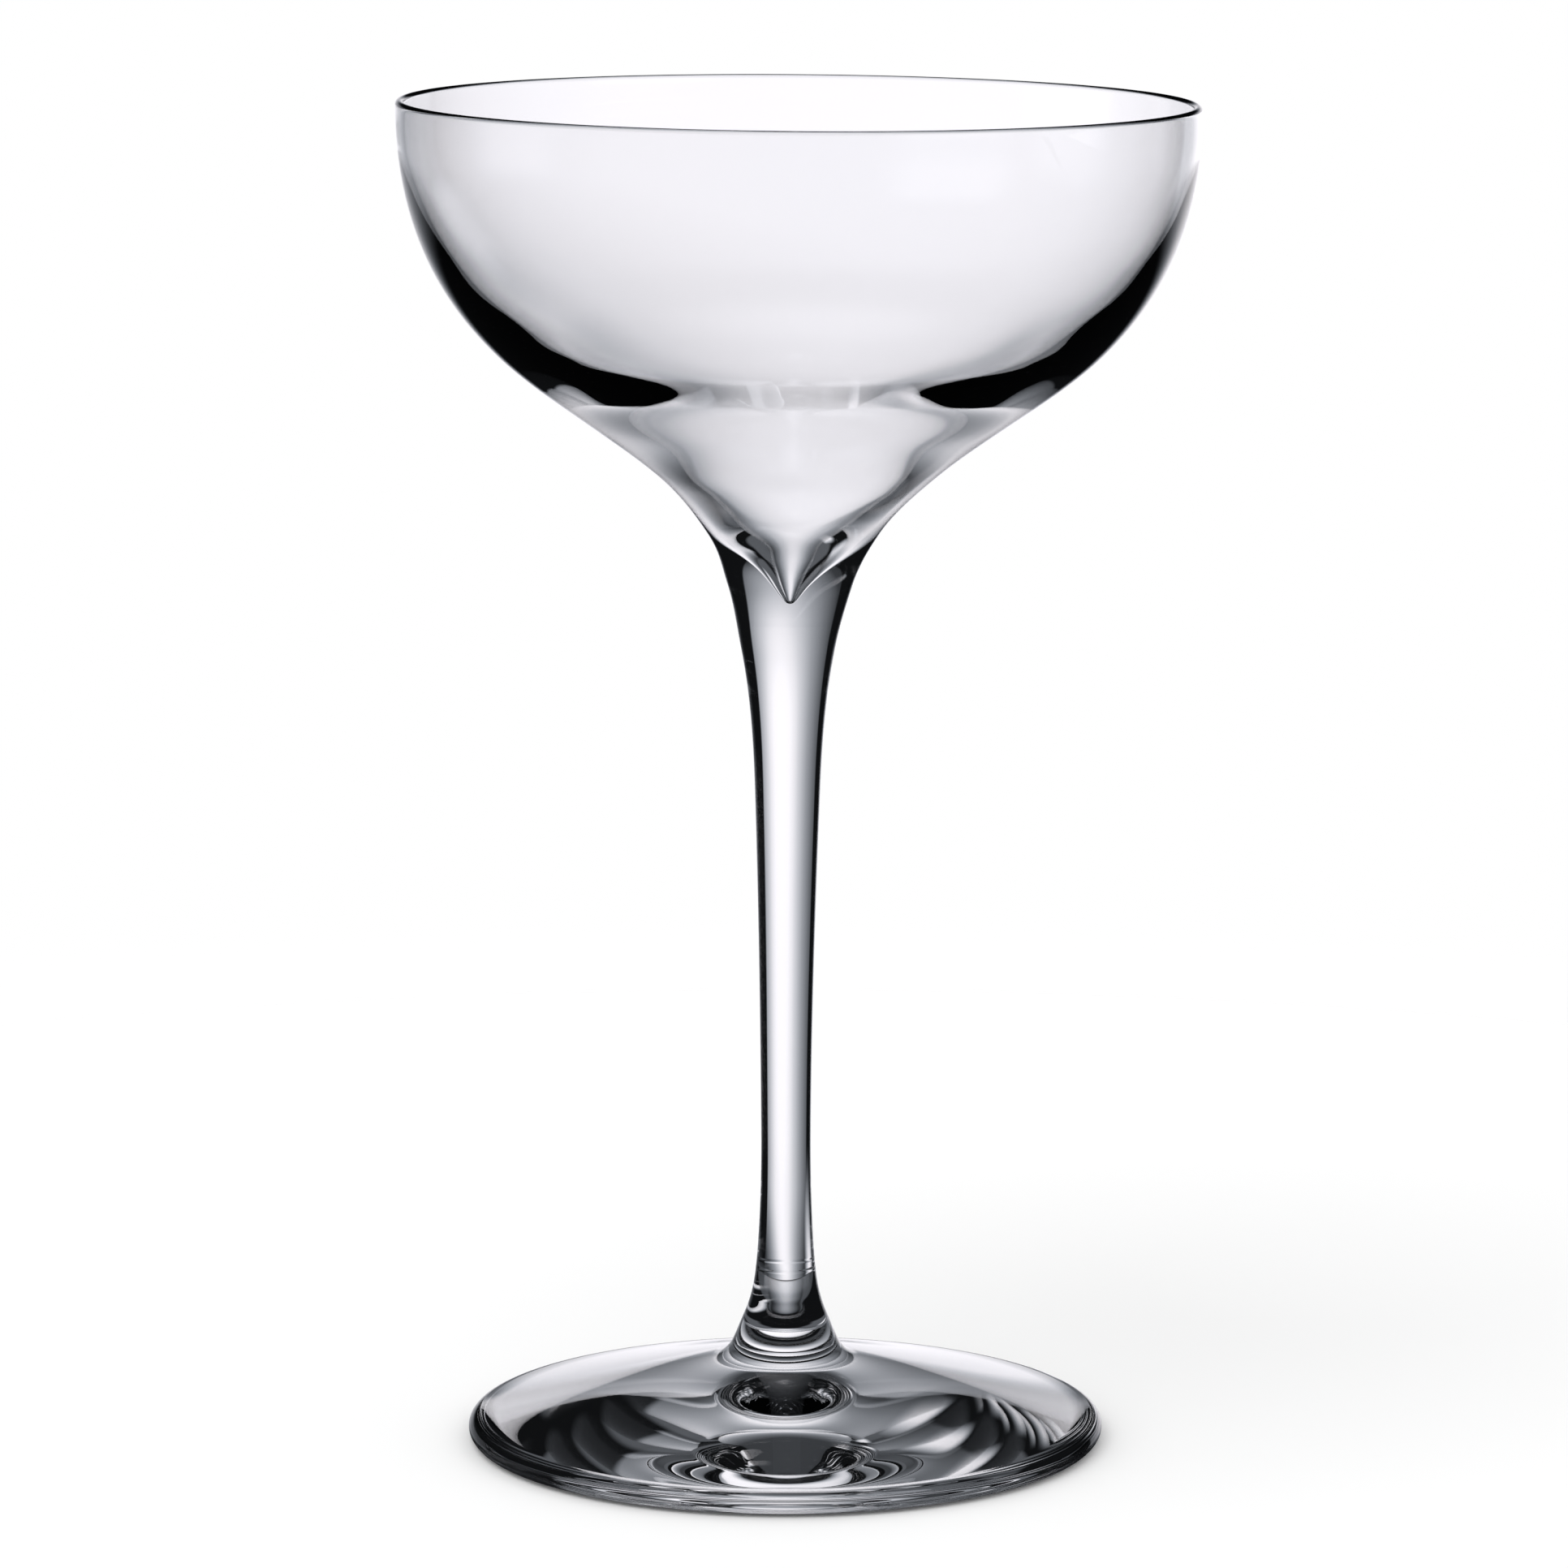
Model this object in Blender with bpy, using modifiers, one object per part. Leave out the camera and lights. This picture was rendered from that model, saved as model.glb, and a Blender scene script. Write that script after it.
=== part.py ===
"""Coupe glass: a wide open bowl on a slender drawn stem, standing on a low conical foot.

The glass is turned about +Z. Its origin is the centre of the plane that the foot stands on.
"""

import math

import bpy
import numpy

MM = 0.001

# Overall sizes
HEIGHT = 162 * MM
RIM_RADIUS = 47.65 * MM
LIP_THICKNESS = 1.1 * MM
FOOT_RADIUS = 38.5 * MM
FOOT_EDGE_THICKNESS = 2.8 * MM

# Planes where the pieces are fused, and the gap left between two solids that meet
BOWL_SEAM = 100 * MM
FOOT_SEAM = 21.2 * MM
SEAM_GAP = 0.3 * MM

# The bead of glass that the foot's weld leaves round the stem
WELD_BEAD_HEIGHT = 0.6 * MM
WELD_BEAD_RISE = 0.12 * MM

# Foot: where the stem's flare runs out, how far the cone sags below a straight one, and the standing ring
FLARE_RADIUS = 7.35 * MM
FLARE_HEIGHT = 10 * MM
FLARE_FILLET = 1.75 * MM
CONE_SAG = 0.25 * MM
STANDING_RING_INNER = 31 * MM
STANDING_RING_OUTER = 36 * MM

# Fineness of the turned surfaces: steps round the axis, and steps along each stretch of a profile
TURN_STEPS = 64
BOWL_STEPS = 5
CAVITY_STEPS = 2
STEM_STEPS = 3
BEAD_STEPS = 4
FLARE_STEPS = 4
LIP_STEPS = 6
EDGE_STEPS = 8
FILLET_STEPS = 4
CONE_STEPS = 6
UNDERSIDE_STEPS = 2

# Finish of the glass, which is all but clear
BOWL_COLOUR = (0.95, 0.95, 0.97)
STEM_COLOUR = (0.93, 0.94, 0.95)
FOOT_COLOUR = (0.92, 0.93, 0.95)
GLASS_ROUGHNESS = 0.02
GLASS_INDEX = 1.52

LIP_CENTRE = HEIGHT - LIP_THICKNESS / 2

# Stations on a turned line: height, radius, and the radius gained per unit of height
OUTER_LINE = (
    (LIP_CENTRE, RIM_RADIUS, 0.0),
    (146 * MM, 45.15 * MM, 0.365),
    (132 * MM, 35.9 * MM, 1.035),
    (119 * MM, 18.45 * MM, 1.28),
    (107 * MM, 8.4 * MM, 0.39),
    (96 * MM, 5.5 * MM, 0.187),
    (80 * MM, 3.95 * MM, 0.036),
    (37 * MM, 3.0 * MM, 0.006),
    (22 * MM, 3.5 * MM, -0.08),
    (15 * MM, 5.05 * MM, -0.44),
    (FLARE_HEIGHT, FLARE_RADIUS, -0.64),
)

# Stations (radius, height) of the inside, from the point of the drawn cavity up to the lip
INNER_LINE = (
    (0.0, 103 * MM),
    (0.8 * MM, 104.1 * MM),
    (2 * MM, 106.5 * MM),
    (4 * MM, 109.5 * MM),
    (6.5 * MM, 112.4 * MM),
    (8.7 * MM, 114.45 * MM),
    (11.5 * MM, 117.4 * MM),
    (15 * MM, 120.5 * MM),
    (22 * MM, 125.2 * MM),
    (34 * MM, 133 * MM),
    (39 * MM, 137.85 * MM),
    (42.85 * MM, 146 * MM),
    (45.4 * MM, 153 * MM),
    (RIM_RADIUS - LIP_THICKNESS, LIP_CENTRE),
)

# Stations (radius, height) of the hollow under the foot, from its peak out to the standing ring
UNDERSIDE = (
    (0.0, 5.3 * MM),
    (4 * MM, 3.5 * MM),
    (8 * MM, 2.45 * MM),
    (12 * MM, 2 * MM),
    (17 * MM, 1.6 * MM),
    (22 * MM, 1.15 * MM),
    (27 * MM, 0.4 * MM),
    (STANDING_RING_INNER, 0.0),
)


def clear_scene():
    """Remove what the file opened with."""
    for obj in list(bpy.data.objects):
        bpy.data.objects.remove(obj, do_unlink=True)


def radius_at(line, height):
    """Radius at a height on the smooth line through the stations, which run downwards."""
    for upper, lower in zip(line, line[1:]):
        if height >= lower[0]:
            break
    span = upper[0] - lower[0]
    t = (height - lower[0]) / span
    blend = t * t * (3 - 2 * t)
    upper_pull = t * t * (t - 1) * span * upper[2]
    lower_pull = t * (1 - t) * (1 - t) * span * lower[2]
    return lower[1] + (upper[1] - lower[1]) * blend + upper_pull + lower_pull


def turned_line(line, top, bottom, steps):
    """Points (radius, height) down a line from top to bottom, with the given steps between stations."""
    marks = [top] + [station[0] for station in line if bottom < station[0] < top] + [bottom]
    points = []
    for upper, lower in zip(marks, marks[1:]):
        heights = [upper + (lower - upper) * i / steps for i in range(steps)]
        points += [(radius_at(line, height), height) for height in heights]
    return points + [(radius_at(line, bottom), bottom)]


def smooth_line(stations, steps):
    """Points on a natural spline through (radius, height) stations, which leaves the axis square to it."""
    mirrored = [(-radius, height) for radius, height in stations[:0:-1]]
    points = numpy.array(mirrored + list(stations))
    spans = numpy.hypot(*numpy.diff(points, axis=0).T)
    count = len(points)
    matrix = numpy.identity(count)
    pull = numpy.zeros((count, 2))
    for i in range(1, count - 1):
        before, after = spans[i - 1], spans[i]
        matrix[i, i - 1:i + 2] = before, 2 * (before + after), after
        pull[i] = 6 * ((points[i + 1] - points[i]) / after - (points[i] - points[i - 1]) / before)
    bend = numpy.linalg.solve(matrix, pull)
    line = [stations[0]]
    for i in range(len(mirrored), count - 1):
        for k in range(1, steps + 1):
            t = k / steps
            sway = ((1 - t) ** 3 - (1 - t)) * bend[i] + (t ** 3 - t) * bend[i + 1]
            point = (1 - t) * points[i] + t * points[i + 1] + sway * spans[i] ** 2 / 6
            line.append((float(point[0]), float(point[1])))
    return line


def arc(centre, size, start, end, steps):
    """Points on an elliptic arc about a centre, leaving out both ends. Angles run from +X, in degrees."""
    points = []
    for i in range(1, steps):
        angle = math.radians(start + (end - start) * i / steps)
        points.append((centre[0] + size[0] * math.cos(angle), centre[1] + size[1] * math.sin(angle)))
    return points


def curve_between(start, corner, end, steps):
    """Points on a smooth bend from start to end that is drawn towards a corner, both ends included."""
    points = []
    for i in range(steps + 1):
        t = i / steps
        weights = ((1 - t) ** 2, 2 * t * (1 - t), t * t)
        points.append(tuple(sum(w * p[k] for w, p in zip(weights, (start, corner, end))) for k in (0, 1)))
    return points


def glass(name, colour):
    """Clear glass with a slight tint."""
    material = bpy.data.materials.new(name)
    material.use_nodes = True
    shader = material.node_tree.nodes["Principled BSDF"]
    shader.inputs["Base Color"].default_value = (*colour, 1.0)
    shader.inputs["Roughness"].default_value = GLASS_ROUGHNESS
    shader.inputs["Metallic"].default_value = 0.0
    shader.inputs["IOR"].default_value = GLASS_INDEX
    shader.inputs["Transmission Weight"].default_value = 1.0
    return material


def turned_piece(name, profile, material, collection):
    """A solid of revolution. The profile starts and ends on the axis and runs down its outer side."""
    mesh = bpy.data.meshes.new(name)
    vertices = [(radius, 0.0, height) for radius, height in profile]
    edges = [(i, i + 1) for i in range(len(profile) - 1)]
    mesh.from_pydata(vertices, edges, [])
    mesh.materials.append(material)
    piece = bpy.data.objects.new(name, mesh)
    collection.objects.link(piece)
    turn = piece.modifiers.new("Turn", "SCREW")
    turn.axis = "Z"
    turn.angle = math.tau
    turn.steps = TURN_STEPS
    turn.render_steps = TURN_STEPS
    turn.use_merge_vertices = True
    turn.merge_threshold = 0.00001
    turn.use_smooth_shade = True
    return piece


def bowl_profile():
    """From the point of the drawn cavity up the inside, over the lip and down the outside to the seam."""
    seam = BOWL_SEAM + SEAM_GAP / 2
    inside = smooth_line(INNER_LINE, CAVITY_STEPS)
    lip_centre = (RIM_RADIUS - LIP_THICKNESS / 2, LIP_CENTRE)
    lip = arc(lip_centre, (LIP_THICKNESS / 2, LIP_THICKNESS / 2), 180, 0, LIP_STEPS)
    outside = turned_line(OUTER_LINE, LIP_CENTRE, seam, BOWL_STEPS)
    return inside + lip + outside + [(0.0, seam)]


def stem_profile():
    """The drawn stem between the two seams, tapering to its waist and swelling again below it."""
    top = BOWL_SEAM - SEAM_GAP / 2
    bottom = FOOT_SEAM + SEAM_GAP / 2
    side = turned_line(OUTER_LINE, top, bottom, STEM_STEPS)
    return [(0.0, top)] + side + [(0.0, bottom)]


def weld_bead(height):
    """How far the weld's bead stands out from the flare at a height below the seam."""
    depth = (FOOT_SEAM - SEAM_GAP / 2 - height) / WELD_BEAD_HEIGHT
    return WELD_BEAD_RISE * math.sin(math.pi * depth) ** 2 if 0 < depth < 1 else 0.0


def cone_side(start, end):
    """The top of the foot from the flare to its edge, sagging most two thirds of the way along."""
    points = []
    for i in range(1, CONE_STEPS + 1):
        t = i / CONE_STEPS
        # t * t * (1 - t) peaks at 4/27
        sag = CONE_SAG * t * t * (1 - t) * 27 / 4
        points.append((start[0] + (end[0] - start[0]) * t, start[1] + (end[1] - start[1]) * t - sag))
    return points


def foot_profile():
    """The weld bead and flare, the cone, the rounded edge, the standing ring and the hollow underside."""
    seam = FOOT_SEAM - SEAM_GAP / 2
    edge_half = FOOT_EDGE_THICKNESS / 2
    cone_outer = (FOOT_RADIUS - edge_half, FOOT_EDGE_THICKNESS)
    bead_heights = [seam - WELD_BEAD_HEIGHT * i / BEAD_STEPS for i in range(BEAD_STEPS)]
    bead = [(radius_at(OUTER_LINE, height) + weld_bead(height), height) for height in bead_heights]
    bend_top = FLARE_HEIGHT + FLARE_FILLET
    flare = turned_line(OUTER_LINE, seam - WELD_BEAD_HEIGHT, bend_top, FLARE_STEPS)
    slope = (FLARE_HEIGHT - cone_outer[1]) / (cone_outer[0] - FLARE_RADIUS)
    bend_end = (FLARE_RADIUS + FLARE_FILLET, FLARE_HEIGHT - FLARE_FILLET * slope)
    bend = curve_between(flare[-1], (FLARE_RADIUS, FLARE_HEIGHT), bend_end, FILLET_STEPS)
    edge = arc((cone_outer[0], edge_half), (edge_half, edge_half), 90, -60, EDGE_STEPS)
    underside = smooth_line(UNDERSIDE, UNDERSIDE_STEPS)[::-1]
    return (
        [(0.0, seam)] + bead + flare[:-1] + bend + cone_side(bend_end, cone_outer) + edge
        + [(STANDING_RING_OUTER, 0.0)] + underside
    )


def build():
    clear_scene()
    collection = bpy.data.collections.new("coupe_glass")
    bpy.context.scene.collection.children.link(collection)
    turned_piece("bowl", bowl_profile(), glass("bowl_glass", BOWL_COLOUR), collection)
    turned_piece("stem", stem_profile(), glass("stem_glass", STEM_COLOUR), collection)
    turned_piece("foot", foot_profile(), glass("foot_glass", FOOT_COLOUR), collection)


build()
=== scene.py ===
"""Dressed scene of the coupe glass: fine turned pieces for bowl, stem and foot, in a white studio."""

import math

import bmesh
import bpy
import numpy
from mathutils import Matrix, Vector


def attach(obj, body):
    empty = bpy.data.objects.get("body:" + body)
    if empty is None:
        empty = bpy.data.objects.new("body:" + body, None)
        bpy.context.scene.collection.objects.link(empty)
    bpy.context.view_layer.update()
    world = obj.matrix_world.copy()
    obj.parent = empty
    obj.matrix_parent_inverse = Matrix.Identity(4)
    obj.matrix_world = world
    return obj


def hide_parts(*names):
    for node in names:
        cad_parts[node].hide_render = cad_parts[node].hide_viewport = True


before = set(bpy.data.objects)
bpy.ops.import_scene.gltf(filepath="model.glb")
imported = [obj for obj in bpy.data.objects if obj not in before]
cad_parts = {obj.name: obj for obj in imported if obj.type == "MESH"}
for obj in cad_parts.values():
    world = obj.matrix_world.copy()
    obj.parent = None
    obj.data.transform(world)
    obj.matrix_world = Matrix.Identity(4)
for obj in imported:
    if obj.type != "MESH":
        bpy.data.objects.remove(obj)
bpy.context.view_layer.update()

MM = 0.001

# Overall sizes, as in the part's source
HEIGHT = 162 * MM
RIM_RADIUS = 47.65 * MM
LIP_THICKNESS = 1.1 * MM
LIP_CENTRE = HEIGHT - LIP_THICKNESS / 2
FOOT_RADIUS = 38.5 * MM
FOOT_EDGE_THICKNESS = 2.8 * MM

# Planes where the pieces are fused
BOWL_SEAM = 100 * MM
FOOT_SEAM = 21.2 * MM

# The bead of glass that the foot's weld leaves round the stem
WELD_BEAD_HEIGHT = 0.6 * MM
WELD_BEAD_RISE = 0.02 * MM

# Foot: where the stem's flare runs out and the fillet there, how far the cone sags below a straight one,
# the angles between which its edge is rounded, and the ring that it stands on
FLARE_RADIUS = 7.35 * MM
FLARE_HEIGHT = 10 * MM
FLARE_FILLET = 1.75 * MM
CONE_SAG = 0.15 * MM
EDGE_TOP = 90
EDGE_UNDER = -60
STANDING_RING_INNER = 35 * MM
STANDING_RING_OUTER = 36 * MM

# Fineness of the turned surfaces: steps round the axis, the length of a step along a profile,
# the heights tried along a line, the fewest steps between two stations, and the steps in each bend
TURN_STEPS = 256
PROFILE_STEP = 0.5 * MM
LINE_PROBES = 2000
FEWEST_STEPS = 2
LIP_STEPS = 24
EDGE_STEPS = 40
BEAD_STEPS = 16
BEND_STEPS = 24

# A point with a smaller radius lies on the axis
ON_AXIS = 0.0001 * MM

# Stations on a turned line: height, radius, and the radius gained per unit of height
OUTER_LINE = (
    (LIP_CENTRE, RIM_RADIUS, 0.0),
    (146 * MM, 45.15 * MM, 0.365),
    (132 * MM, 35.9 * MM, 1.035),
    (119 * MM, 18.45 * MM, 1.28),
    (107 * MM, 8.4 * MM, 0.39),
    (96 * MM, 5.5 * MM, 0.187),
    (80 * MM, 3.95 * MM, 0.036),
    (37 * MM, 3.0 * MM, 0.006),
    (22 * MM, 3.5 * MM, -0.08),
    (15 * MM, 5.05 * MM, -0.44),
    (FLARE_HEIGHT, FLARE_RADIUS, -0.64),
)

# Stations (radius, height) of the inside, from the point of the drawn cavity up to the lip
INNER_LINE = (
    (0.0, 103 * MM),
    (0.8 * MM, 104.1 * MM),
    (2 * MM, 106.45 * MM),
    (4 * MM, 109.35 * MM),
    (6.5 * MM, 112.05 * MM),
    (8.7 * MM, 114.5 * MM),
    (11.5 * MM, 117.45 * MM),
    (15 * MM, 120.75 * MM),
    (22 * MM, 125.8 * MM),
    (28.3 * MM, 130.1 * MM),
    (33.4 * MM, 133.6 * MM),
    (37.1 * MM, 136.95 * MM),
    (40.1 * MM, 140.45 * MM),
    (42.4 * MM, 144 * MM),
    (44.15 * MM, 147.6 * MM),
    (45.45 * MM, 151.4 * MM),
    (46.25 * MM, 155.3 * MM),
    (RIM_RADIUS - LIP_THICKNESS, LIP_CENTRE),
)

# Stations (radius, height) of the hollow under the foot, from its peak out to the standing ring
UNDERSIDE = (
    (0.0, 3.75 * MM),
    (4 * MM, 3.46 * MM),
    (8 * MM, 2.93 * MM),
    (12 * MM, 2.41 * MM),
    (17 * MM, 1.84 * MM),
    (22 * MM, 1.33 * MM),
    (27 * MM, 0.84 * MM),
    (31 * MM, 0.43 * MM),
    (STANDING_RING_INNER, 0.0),
)

# How far the axis has wandered to +X in the making, by height
AXIS_WANDER = (
    (0.0, 0.0),
    (37 * MM, 0.1 * MM),
    (97 * MM, 0.35 * MM),
    (104.5 * MM, 0.6 * MM),
    (110.5 * MM, 1.0 * MM),
    (118 * MM, 1.5 * MM),
    (HEIGHT, 1.6 * MM),
)

# The slope by which the rim dips to +X, and the heights between which the bowl takes it on
RIM_DIP = math.tan(math.radians(0.46))
DIP_START = 105 * MM
DIP_FULL = 135 * MM

# Glass: its index, the tint of its streaks, its patches of duller polish and the waves of its skin.
# Each scale is that of a noise, per metre, and the polish goes from bright to dull between two of its values
GLASS_INDEX = 1.52
GLASS_CLEAR = (1.0, 1.0, 1.0)
GLASS_STREAK = (0.985, 0.992, 1.0)
STREAK_SCALE = 25
POLISH_SCALE = 140
POLISH_DETAIL = 1
POLISH_FROM = 0.45
POLISH_TO = 0.8
DULL_ROUGHNESS = 0.012
WAVE_SCALE = 70
WAVE_DEPTH = 0.02 * MM

# Numbers of a mix node's colour sockets: factor, first and second, and the result
MIX_INPUTS = (0, 6, 7)
MIX_RESULT = 2

# The studio that the glass sees, by azimuth from the back (+ to the right) and elevation, in degrees.
# An area runs from one azimuth to another and from one elevation to another, with a fade at its edges
BACKDROP = (-45, 37, -53, 55)
BACKDROP_FADE = (1.5, 3)

# A soft spot of light on the backdrop: its middle, its level by the degrees from there,
# and how much faster it falls off upwards
SPOT_AZIMUTH = 7
SPOT_ELEVATION = -5
SPOT_FALL = (
    (0, 1.16),
    (9, 1.11),
    (15, 0.93),
    (20, 0.72),
    (26, 0.53),
    (31, 0.39),
    (36, 0.3),
    (43, 0.2),
    (51, 0.12),
    (60, 0.05),
)
SPOT_REACH = SPOT_FALL[-1][0]
SPOT_UP = 1.4

# Below the ground line the spot runs on over the ground. There it is slower to fall off downwards, and over
# the first degrees it comes straight behind the glass and grows narrower
GROUND_LINE = -14
GROUND_TURN = 8
GROUND_STRETCH = 0.35
GROUND_NARROW = 2.0

# Dim ground to the left and right, by azimuth to either side
GROUND_SIDES = (28, 88, -60, -24)
GROUND_FADE = (6, 4)
GROUND_LEVEL = 0.12

# The elevations between which the outside of the glass reflects the backdrop
OUTSIDE_BAND = (-13, 6)
OUTSIDE_FADE = 4

# Lit panels behind the glass as it is seen from the sides and from the back
PANELS = (
    (-57, -38, -35, -17),
    (-104, -76, -13, 10),
    (118, 152, -25, -6),
)
PANEL_FADE = (8, 5)
PANEL_LEVEL = 1.04

# The level of the dark screens between these areas, and the tint of what is dark and what is lit
SCREEN_LEVEL = 0.006
COOL_DARK = (0.83, 0.895, 1.0)
COOL_LIGHT = (0.975, 0.956, 1.0)
WHITE = (1.0, 1.0, 1.0)

# Floor: a disc just under the foot, solid to a share of its radius and running out to its edge
FLOOR_RADIUS = 0.35
FLOOR_SOLID_SHARE = 0.4
FLOOR_SIDES = 128
FLOOR_DROP = 0.2 * MM
FLOOR_COLOUR = (0.95, 0.95, 0.95)
FLOOR_ROUGHNESS = 0.9

# A soft round lamp above the glass, to the left and in front
LAMP_SIZE = 1.2
LAMP_POWER = 6
LAMP_PLACE = (-0.5, -0.6, 1.4)
LAMP_TARGET = (0.0, 0.0, 0.05)

# Camera: its focal length in pixels of the square image, its place and what it looks at
IMAGE_SIDE = 1932
FOCAL_PIXELS = 8796
SENSOR = 36.0
CAMERA_PLACE = (-0.00014, -0.845, 0.222)
CAMERA_TARGET = (-0.00014, 0.0, 0.0802)

# Light that the glass has guided through more bounces than this is lost, which leaves the edges dark
LIGHT_BOUNCES = 16


def radius_at(line, height):
    """Radius at a height on the smooth line through the stations, which run downwards."""
    for upper, lower in zip(line, line[1:]):
        if height >= lower[0]:
            break
    span = upper[0] - lower[0]
    t = (height - lower[0]) / span
    blend = t * t * (3 - 2 * t)
    upper_pull = t * t * (t - 1) * span * upper[2]
    lower_pull = t * (1 - t) * (1 - t) * span * lower[2]
    return lower[1] + (upper[1] - lower[1]) * blend + upper_pull + lower_pull


def turned_line(line, top, bottom):
    """Points (radius, height) down a line, in steps of about the same length along it."""
    points = [(radius_at(line, top), top)]
    for i in range(1, LINE_PROBES + 1):
        height = top + (bottom - top) * i / LINE_PROBES
        radius = radius_at(line, height)
        if math.hypot(radius - points[-1][0], height - points[-1][1]) >= PROFILE_STEP:
            points.append((radius, height))
    points[-1] = (radius_at(line, bottom), bottom)
    return points


def smooth_line(stations):
    """Points on a natural spline through (radius, height) stations, which leaves the axis square to it."""
    mirrored = [(-radius, height) for radius, height in stations[:0:-1]]
    points = numpy.array(mirrored + list(stations))
    spans = numpy.hypot(*numpy.diff(points, axis=0).T)
    count = len(points)
    matrix = numpy.identity(count)
    pull = numpy.zeros((count, 2))
    for i in range(1, count - 1):
        before, after = spans[i - 1], spans[i]
        matrix[i, i - 1:i + 2] = before, 2 * (before + after), after
        pull[i] = 6 * ((points[i + 1] - points[i]) / after - (points[i] - points[i - 1]) / before)
    bend = numpy.linalg.solve(matrix, pull)
    line = [stations[0]]
    for i in range(len(mirrored), count - 1):
        steps = max(FEWEST_STEPS, round(spans[i] / PROFILE_STEP))
        for k in range(1, steps + 1):
            t = k / steps
            sway = ((1 - t) ** 3 - (1 - t)) * bend[i] + (t ** 3 - t) * bend[i + 1]
            line.append(tuple((1 - t) * points[i] + t * points[i + 1] + sway * spans[i] ** 2 / 6))
    return line


def arc(centre, size, start, end, steps):
    """Points on an arc about a centre, leaving out both ends. Angles run from +X, in degrees."""
    points = []
    for i in range(1, steps):
        angle = math.radians(start + (end - start) * i / steps)
        points.append((centre[0] + size * math.cos(angle), centre[1] + size * math.sin(angle)))
    return points


def bend_between(start, corner, end, steps):
    """Points on a smooth bend from start to end that is drawn towards a corner, both ends included."""
    points = []
    for i in range(steps + 1):
        t = i / steps
        weights = ((1 - t) ** 2, 2 * t * (1 - t), t * t)
        points.append(tuple(sum(w * p[k] for w, p in zip(weights, (start, corner, end))) for k in (0, 1)))
    return points


def cone_side(start, end):
    """The top of the foot from the flare to its edge, sagging most two thirds of the way along."""
    steps = round(math.dist(start, end) / PROFILE_STEP)
    points = []
    for i in range(1, steps + 1):
        t = i / steps
        # t * t * (1 - t) peaks at 4/27
        sag = CONE_SAG * t * t * (1 - t) * 27 / 4
        points.append((start[0] + (end[0] - start[0]) * t, start[1] + (end[1] - start[1]) * t - sag))
    return points


def bowl_profile():
    """From the point of the drawn cavity up the inside, over the lip and down the outside to the seam."""
    inside = smooth_line(INNER_LINE)
    lip = arc((RIM_RADIUS - LIP_THICKNESS / 2, LIP_CENTRE), LIP_THICKNESS / 2, 180, 0, LIP_STEPS)
    outside = turned_line(OUTER_LINE, LIP_CENTRE, BOWL_SEAM)
    return inside + lip + outside + [(0.0, BOWL_SEAM)]


def stem_profile():
    """The drawn stem between the two seams."""
    return [(0.0, BOWL_SEAM)] + turned_line(OUTER_LINE, BOWL_SEAM, FOOT_SEAM) + [(0.0, FOOT_SEAM)]


def weld_bead(height):
    """How far the weld's bead stands out from the flare at a height below the seam."""
    depth = (FOOT_SEAM - height) / WELD_BEAD_HEIGHT
    return WELD_BEAD_RISE * math.sin(math.pi * depth) ** 2 if 0 < depth < 1 else 0.0


def foot_profile():
    """The weld bead and flare, the cone, the rounded edge, the standing ring and the hollow underside."""
    edge_half = FOOT_EDGE_THICKNESS / 2
    cone_outer = (FOOT_RADIUS - edge_half, FOOT_EDGE_THICKNESS)
    bead_heights = [FOOT_SEAM - WELD_BEAD_HEIGHT * i / BEAD_STEPS for i in range(BEAD_STEPS)]
    bead = [(radius_at(OUTER_LINE, height) + weld_bead(height), height) for height in bead_heights]
    flare = turned_line(OUTER_LINE, FOOT_SEAM - WELD_BEAD_HEIGHT, FLARE_HEIGHT + FLARE_FILLET)
    slope = (FLARE_HEIGHT - cone_outer[1]) / (cone_outer[0] - FLARE_RADIUS)
    bend_end = (FLARE_RADIUS + FLARE_FILLET, FLARE_HEIGHT - FLARE_FILLET * slope)
    bend = bend_between(flare[-1], (FLARE_RADIUS, FLARE_HEIGHT), bend_end, BEND_STEPS)
    edge = arc((cone_outer[0], edge_half), edge_half, EDGE_TOP, EDGE_UNDER, EDGE_STEPS)
    underside = [(radius, max(0.0, height)) for radius, height in smooth_line(UNDERSIDE)[::-1]]
    return (
        [(0.0, FOOT_SEAM)] + bead + flare[:-1] + bend + cone_side(bend_end, cone_outer) + edge
        + [(STANDING_RING_OUTER, 0.0)] + underside
    )


def smooth_step(low, high, value):
    """A smooth rise from 0 to 1 as a value goes from low to high."""
    t = min(1.0, max(0.0, (value - low) / (high - low)))
    return t * t * (3 - 2 * t)


def wander(height):
    """How far the axis stands off to +X at a height."""
    for (low, start), (high, end) in zip(AXIS_WANDER, AXIS_WANDER[1:]):
        if height <= high:
            return start + (end - start) * smooth_step(low, high, height)
    return AXIS_WANDER[-1][1]


def as_made(radius, height, angle):
    """A point of the turned form where the made glass has it."""
    x = radius * math.cos(angle)
    y = radius * math.sin(angle)
    dip = RIM_DIP * smooth_step(DIP_START, DIP_FULL, height)
    return (x + wander(height), y, height - x * dip)


def is_seam(start, end):
    """Whether a stretch of a profile lies in a plane where two pieces are fused."""
    return start[1] == end[1] and start[1] in (BOWL_SEAM, FOOT_SEAM)


def ring(form, radius, height):
    """The vertices round the axis for a point of a profile, or a single one on the axis."""
    if radius < ON_AXIS:
        return [form.verts.new(as_made(0.0, height, 0.0))]
    angles = [math.tau * k / TURN_STEPS for k in range(TURN_STEPS)]
    return [form.verts.new(as_made(radius, height, angle)) for angle in angles]


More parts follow.
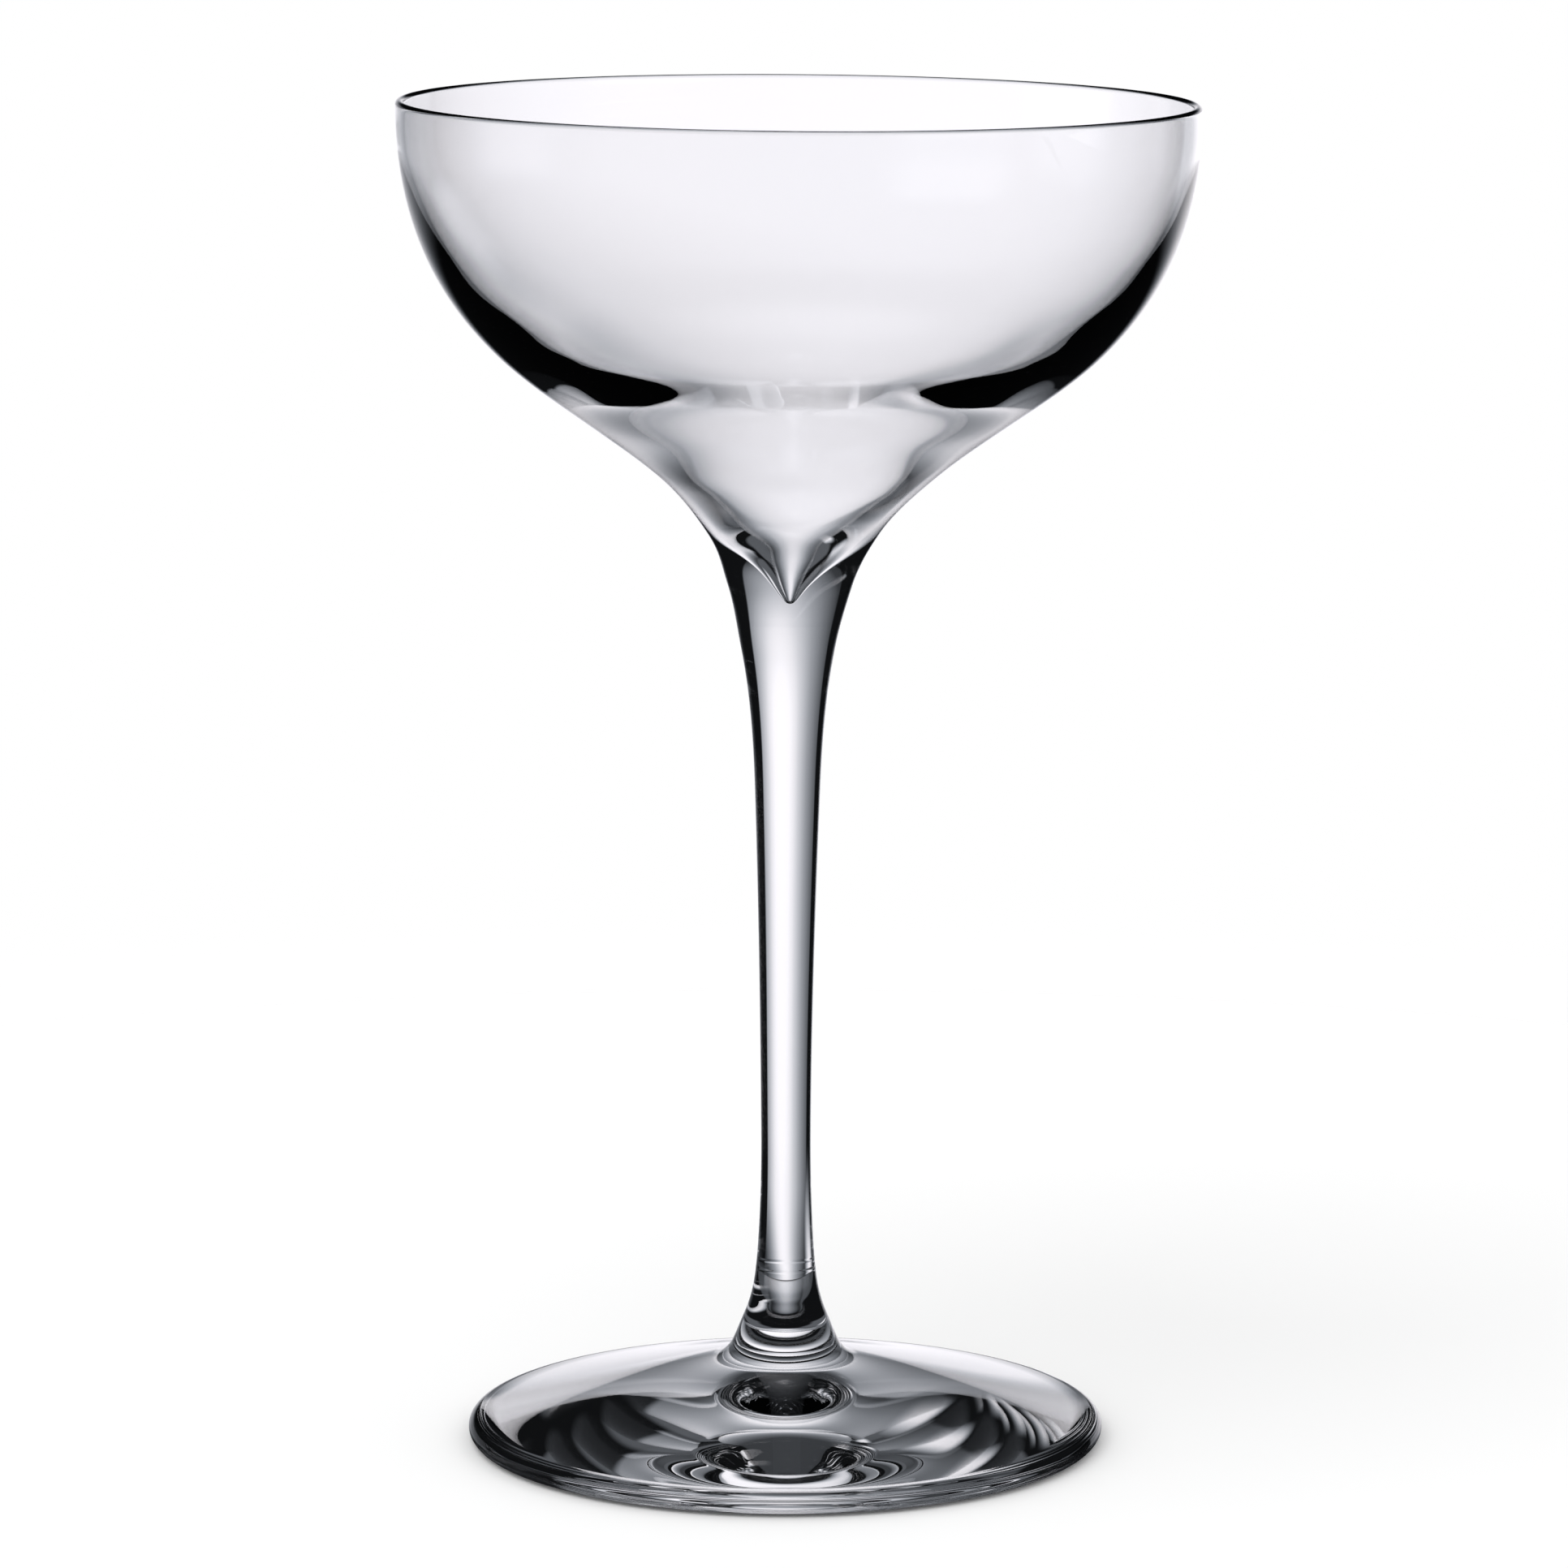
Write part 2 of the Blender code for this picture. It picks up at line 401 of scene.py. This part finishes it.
def faces_between(form, first, second):
    """The faces between two rings, of which one may be a single vertex."""
    faces = []
    for k in range(TURN_STEPS):
        after = (k + 1) % TURN_STEPS
        if len(first) == 1:
            corners = (first[0], second[k], second[after])
        elif len(second) == 1:
            corners = (first[k], second[0], first[after])
        else:
            corners = (first[k], second[k], second[after], first[after])
        faces.append(form.faces.new(corners))
    return faces


def turned_mesh(name, profile):
    """A closed turned mesh, whose fused seams take the second of its materials."""
    form = bmesh.new()
    rings = [ring(form, radius, height) for radius, height in profile]
    for i in range(len(profile) - 1):
        for face in faces_between(form, rings[i], rings[i + 1]):
            face.smooth = True
            face.material_index = 1 if is_seam(profile[i], profile[i + 1]) else 0
    bmesh.ops.recalc_face_normals(form, faces=form.faces)
    for edge in form.edges:
        sides = {face.material_index for face in edge.link_faces}
        edge.smooth = len(sides) == 1
    mesh = bpy.data.meshes.new(name)
    form.to_mesh(mesh)
    form.free()
    return mesh


def turned_piece(name, profile, node, slot, seam):
    """A piece of glass that stands for a node, with a glass of its own named for the slot."""
    mesh = turned_mesh(name, profile)
    mesh.materials.append(glass(slot))
    mesh.materials.append(seam)
    piece = bpy.data.objects.new(name, mesh)
    bpy.context.scene.collection.objects.link(piece)
    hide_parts(node)
    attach(piece, "root")


def new_material(name):
    """A material with its node tree and its shader."""
    material = bpy.data.materials.new(name)
    material.use_nodes = True
    return material, material.node_tree, material.node_tree.nodes["Principled BSDF"]


def feed(tree, socket, value):
    """Link a socket to another one, or give it a colour or a number."""
    if isinstance(value, bpy.types.NodeSocket):
        tree.links.new(value, socket)
    elif isinstance(value, tuple):
        socket.default_value = (*value, 1.0)
    else:
        socket.default_value = value


def colour_mix(tree, factor, first, second, blend="MIX"):
    """Result of a mix of two colours."""
    node = tree.nodes.new("ShaderNodeMix")
    node.data_type = "RGBA"
    node.blend_type = blend
    for number, value in zip(MIX_INPUTS, (factor, first, second)):
        feed(tree, node.inputs[number], value)
    return node.outputs[MIX_RESULT]


def noise(tree, place, scale, detail=0):
    """Value of a noise at a place."""
    node = tree.nodes.new("ShaderNodeTexNoise")
    node.inputs["Scale"].default_value = scale
    node.inputs["Detail"].default_value = detail
    tree.links.new(place, node.inputs["Vector"])
    return node.outputs["Fac"]


def glass(name):
    """Clear glass with a cold tint in streaks, patches of duller polish and faint waves in its skin."""
    material, tree, shader = new_material(name)
    place = tree.nodes.new("ShaderNodeTexCoord").outputs["Object"]
    tint = colour_mix(tree, noise(tree, place, STREAK_SCALE), GLASS_STREAK, GLASS_CLEAR)
    tree.links.new(tint, shader.inputs["Base Color"])
    polish = tree.nodes.new("ShaderNodeMapRange")
    polish.inputs["From Min"].default_value = POLISH_FROM
    polish.inputs["From Max"].default_value = POLISH_TO
    polish.inputs["To Max"].default_value = DULL_ROUGHNESS
    tree.links.new(noise(tree, place, POLISH_SCALE, POLISH_DETAIL), polish.inputs["Value"])
    tree.links.new(polish.outputs["Result"], shader.inputs["Roughness"])
    waves = tree.nodes.new("ShaderNodeBump")
    waves.inputs["Strength"].default_value = 1.0
    waves.inputs["Distance"].default_value = WAVE_DEPTH
    tree.links.new(noise(tree, place, WAVE_SCALE), waves.inputs["Height"])
    tree.links.new(waves.outputs["Normal"], shader.inputs["Normal"])
    shader.inputs["IOR"].default_value = GLASS_INDEX
    shader.inputs["Transmission Weight"].default_value = 1.0
    return material


def seam_material():
    """The fused joint inside the glass, which light passes as if nothing were there."""
    material, tree, shader = new_material("fused_seam")
    tree.nodes.remove(shader)
    clear = tree.nodes.new("ShaderNodeBsdfTransparent")
    tree.links.new(clear.outputs[0], tree.nodes["Material Output"].inputs["Surface"])
    return material


class Studio:
    """Nodes of a world that work out how bright the studio is in a direction."""

    def __init__(self, tree):
        self.tree = tree
        place = tree.nodes.new("ShaderNodeTexCoord")
        split = tree.nodes.new("ShaderNodeSeparateXYZ")
        tree.links.new(place.outputs["Generated"], split.inputs[0])
        x, y, z = split.outputs
        self.azimuth = self.calc("DEGREES", self.calc("ARCTAN2", x, y))
        self.elevation = self.calc("DEGREES", self.calc("ARCSINE", z))

    def calc(self, operation, *values):
        """Result of a sum on sockets and numbers."""
        node = self.tree.nodes.new("ShaderNodeMath")
        node.operation = operation
        for socket, value in zip(node.inputs, values):
            feed(self.tree, socket, value)
        return node.outputs[0]

    def rise(self, value, low, high):
        """A smooth rise from 0 to 1 as a value goes from low to high."""
        node = self.tree.nodes.new("ShaderNodeMapRange")
        node.interpolation_type = "SMOOTHSTEP"
        self.tree.links.new(value, node.inputs["Value"])
        node.inputs["From Min"].default_value = low
        node.inputs["From Max"].default_value = high
        return node.outputs["Result"]

    def band(self, value, low, high, fade):
        """1 between low and high, with a fade to 0 across each of them."""
        entered = self.rise(value, low - fade, low + fade)
        left = self.rise(value, high - fade, high + fade)
        return self.calc("SUBTRACT", entered, left)

    def area(self, azimuth, edges, fade):
        """1 inside the edges of an area, with a fade to 0 across them."""
        az_low, az_high, el_low, el_high = edges
        az_fade, el_fade = fade
        across = self.band(azimuth, az_low, az_high, az_fade)
        return self.calc("MULTIPLY", across, self.band(self.elevation, el_low, el_high, el_fade))

    def spot_distance(self):
        """How far a direction lies from the middle of the spot, in degrees of its fall."""
        below = self.calc("MINIMUM", self.calc("SUBTRACT", self.elevation, GROUND_LINE), 0.0)
        drop = self.calc("SUBTRACT", self.calc("MAXIMUM", self.elevation, GROUND_LINE), SPOT_ELEVATION)
        drop = self.calc("ADD", drop, self.calc("MULTIPLY", below, GROUND_STRETCH))
        drop = self.calc("MAXIMUM", drop, self.calc("MULTIPLY", drop, SPOT_UP))
        on_ground = self.rise(below, 0, -GROUND_TURN)
        middle = self.calc("MULTIPLY", self.calc("SUBTRACT", 1.0, on_ground), SPOT_AZIMUTH)
        narrow = self.calc("ADD", 1.0, self.calc("MULTIPLY", on_ground, GROUND_NARROW - 1.0))
        aside = self.calc("MULTIPLY", self.calc("SUBTRACT", self.azimuth, middle), narrow)
        squares = [self.calc("MULTIPLY", way, way) for way in (aside, drop)]
        return self.calc("SQRT", self.calc("ADD", *squares))

    def spot(self):
        """Level of the spot of light."""
        ramp = self.tree.nodes.new("ShaderNodeValToRGB")
        self.tree.links.new(self.calc("DIVIDE", self.spot_distance(), SPOT_REACH), ramp.inputs[0])
        elements = ramp.color_ramp.elements
        # A new stop starts halfway, and the loop after this one puts it in its place
        while len(elements) < len(SPOT_FALL):
            elements.new(0.5)
        for element, (away, level) in zip(elements, SPOT_FALL):
            element.position = away / SPOT_REACH
            element.color = (level, level, level, 1.0)
        return ramp.outputs[0]

    def level(self, through):
        """Level in a direction.

        Through is 1 for light that came through the glass, and 0 for light that its outside reflects.
        """
        backdrop = self.calc("MULTIPLY", self.area(self.azimuth, BACKDROP, BACKDROP_FADE), self.spot())
        outside = self.band(self.elevation, *OUTSIDE_BAND, OUTSIDE_FADE)
        bright = self.calc("MULTIPLY", backdrop, self.calc("MAXIMUM", through, outside))
        for edges in PANELS:
            panel = self.calc("MULTIPLY", self.area(self.azimuth, edges, PANEL_FADE), PANEL_LEVEL)
            bright = self.calc("MAXIMUM", bright, self.calc("MULTIPLY", panel, through))
        sides = self.area(self.calc("ABSOLUTE", self.azimuth), GROUND_SIDES, GROUND_FADE)
        ground = self.calc("MULTIPLY", self.calc("MULTIPLY", sides, GROUND_LEVEL), through)
        return self.calc("ADD", self.calc("MAXIMUM", bright, ground), SCREEN_LEVEL)


def studio_world():
    """A world that is white for the camera, and a studio of lit and dark areas for what the glass shows."""
    world = bpy.data.worlds.new("studio")
    bpy.context.scene.world = world
    world.use_nodes = True
    tree = world.node_tree
    path = tree.nodes.new("ShaderNodeLightPath")
    through = path.outputs["Is Transmission Ray"]
    studio = Studio(tree)
    level = studio.level(through)
    tint = colour_mix(tree, level, COOL_DARK, COOL_LIGHT)
    seen = colour_mix(tree, 1.0, tint, level, "MULTIPLY")
    in_glass = studio.calc("MAXIMUM", path.outputs["Is Glossy Ray"], through)
    background = tree.nodes["Background"]
    tree.links.new(colour_mix(tree, in_glass, WHITE, seen), background.inputs["Color"])
    background.inputs["Strength"].default_value = 1.0


def floor_material():
    """A pale matt surface that runs out towards the floor's edge."""
    material, tree, shader = new_material("pale_floor")
    shader.inputs["Base Color"].default_value = (*FLOOR_COLOUR, 1.0)
    shader.inputs["Roughness"].default_value = FLOOR_ROUGHNESS
    place = tree.nodes.new("ShaderNodeTexCoord")
    length = tree.nodes.new("ShaderNodeVectorMath")
    length.operation = "LENGTH"
    fade = tree.nodes.new("ShaderNodeMapRange")
    fade.interpolation_type = "SMOOTHSTEP"
    fade.inputs["From Min"].default_value = FLOOR_RADIUS
    fade.inputs["From Max"].default_value = FLOOR_RADIUS * FLOOR_SOLID_SHARE
    tree.links.new(place.outputs["Object"], length.inputs[0])
    tree.links.new(length.outputs["Value"], fade.inputs["Value"])
    tree.links.new(fade.outputs["Result"], shader.inputs["Alpha"])
    return material


def floor():
    """A pale floor that takes the soft shadow of the glass and runs out into the white round it."""
    form = bmesh.new()
    bmesh.ops.create_circle(form, cap_ends=True, segments=FLOOR_SIDES, radius=FLOOR_RADIUS)
    mesh = bpy.data.meshes.new("floor")
    form.to_mesh(mesh)
    form.free()
    mesh.materials.append(floor_material())
    obj = bpy.data.objects.new("floor", mesh)
    bpy.context.scene.collection.objects.link(obj)
    obj.location.z = -FLOOR_DROP
    obj.visible_glossy = False
    obj.visible_transmission = False


def aimed(name, data, place, target):
    """A lamp or camera at a place, looking at a target."""
    obj = bpy.data.objects.new(name, data)
    bpy.context.scene.collection.objects.link(obj)
    obj.location = place
    obj.rotation_euler = (Vector(target) - obj.location).to_track_quat("-Z", "Y").to_euler()
    return obj


def lamp():
    """The soft lamp, which lights the floor and isn't seen in the glass."""
    data = bpy.data.lights.new("soft_top", "AREA")
    data.shape = "DISK"
    data.size = LAMP_SIZE
    data.energy = LAMP_POWER
    obj = aimed("soft_top", data, LAMP_PLACE, LAMP_TARGET)
    obj.visible_glossy = False
    obj.visible_transmission = False


def camera():
    """The camera at the photograph's viewing angle."""
    data = bpy.data.cameras.new("camera")
    data.sensor_width = SENSOR
    data.lens = SENSOR * FOCAL_PIXELS / IMAGE_SIDE
    bpy.context.scene.camera = aimed("camera", data, CAMERA_PLACE, CAMERA_TARGET)


fused = seam_material()
turned_piece("bowl_glass_form", bowl_profile(), "bowl", "bowl_glass", fused)
turned_piece("stem_glass_form", stem_profile(), "stem", "stem_glass", fused)
turned_piece("foot_glass_form", foot_profile(), "foot", "foot_glass", fused)
studio_world()
floor()
lamp()
camera()
bpy.context.scene.view_settings.view_transform = "Standard"
bpy.context.scene.cycles.max_bounces = LIGHT_BOUNCES
bpy.context.scene.cycles.transmission_bounces = LIGHT_BOUNCES
bpy.context.scene.cycles.glossy_bounces = LIGHT_BOUNCES
